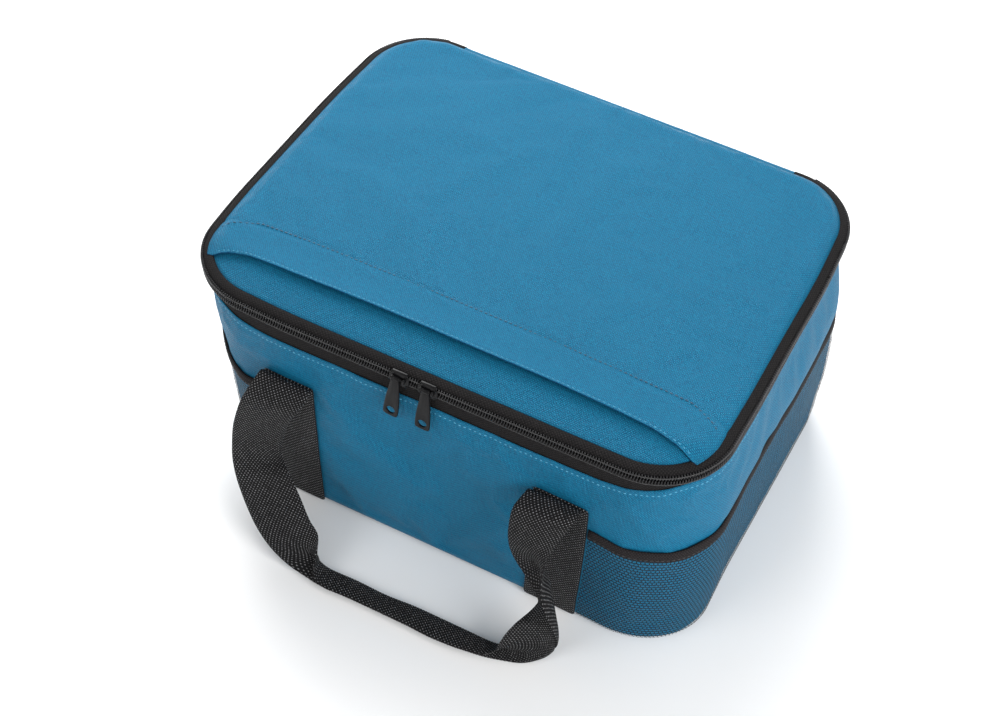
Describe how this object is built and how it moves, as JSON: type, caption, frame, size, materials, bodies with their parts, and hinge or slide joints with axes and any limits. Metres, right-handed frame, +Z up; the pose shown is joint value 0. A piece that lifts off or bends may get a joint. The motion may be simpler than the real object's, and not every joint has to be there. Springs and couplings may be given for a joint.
{
  "type": "insulated cooler bag",
  "caption": "Soft insulated cooler bag: padded box with a zipped lid on a cloth hinge, a slot pocket in the lid, mesh end pockets and two webbing handles.",
  "frame": {"origin": "on the floor, under the middle of the bag's base", "axes": "+Z up; the front, with the zip sliders, faces -Y; +X is to the right of someone facing the front"},
  "size_m": [0.3808, 0.4194, 0.1852],
  "materials": {
    "outer_cloth": "matt woven polyester",
    "foam": "closed-cell foam",
    "foil_lining": "satin foil film",
    "binding_tape": "ribbed tape",
    "zip_tape": "woven tape",
    "zip_teeth": "satin nylon coil",
    "webbing": "plain woven webbing",
    "mesh": "knitted mesh",
    "zip_metal": "semi-gloss black"
  },
  "bodies": {
    "bag": {"wall_panel": "outer_cloth", "rear_panel": "outer_cloth", "base_panel": "outer_cloth", "wall_foam": "foam", "rear_foam": "foam", "base_foam": "foam", "lining_tub": "foil_lining", "mouth_binding": "binding_tape", "body_zip_tape": "zip_tape", "body_zip_coil": "zip_teeth", "hinge_strip": "outer_cloth", "front_strap_left": "webbing", "front_strap_right": "webbing", "rear_strap_left": "webbing", "rear_strap_right": "webbing", "mesh_pocket_left": "mesh", "mesh_pocket_right": "mesh", "pocket_binding_left": "binding_tape", "pocket_binding_right": "binding_tape"},
    "lid": {"lid_panel": "outer_cloth", "lid_slot_panel": "outer_cloth", "lid_foam": "foam", "lid_lining": "foil_lining", "lid_binding": "binding_tape", "lid_zip_tape": "zip_tape", "lid_zip_coil": "zip_teeth", "lid_hinge_edge": "outer_cloth"},
    "slider_left": {"slider_left": "zip_metal"},
    "slider_right": {"slider_right": "zip_metal"},
    "pull_left": {"pull_left": "zip_metal"},
    "pull_right": {"pull_right": "zip_metal"},
    "front_handle": {"front_handle": "webbing"},
    "rear_handle": {"rear_handle": "webbing"}
  },
  "joints": [
    {"name": "lid_hinge", "type": "hinge", "parent": "bag", "child": "lid", "pos_m": [0, 0.1482, 0.174], "axis": [1, 0, 0], "range_deg": [-105, 0]},
    {"name": "left_slide", "type": "slide", "parent": "bag", "child": "slider_left", "axis": [1, 0, 0], "range_m": [-0.114, 0]},
    {"name": "right_slide", "type": "slide", "parent": "bag", "child": "slider_right", "axis": [-1, 0, 0], "range_m": [-0.114, 0]},
    {"name": "left_pull", "type": "hinge", "parent": "slider_left", "child": "pull_left", "pos_m": [-0.01, -0.1522, 0.175], "axis": [-1, 0, 0], "range_deg": [0, 165]},
    {"name": "right_pull", "type": "hinge", "parent": "slider_right", "child": "pull_right", "pos_m": [0.01, -0.1522, 0.175], "axis": [-1, 0, 0], "range_deg": [0, 165]},
    {"name": "front_handle_lift", "type": "hinge", "parent": "bag", "child": "front_handle", "pos_m": [0, -0.1512, 0.127], "axis": [-1, 0, 0], "range_deg": [0, 140]},
    {"name": "rear_handle_lift", "type": "hinge", "parent": "bag", "child": "rear_handle", "pos_m": [0, 0.1512, 0.127], "axis": [1, 0, 0], "range_deg": [0, 140]}
  ]
}
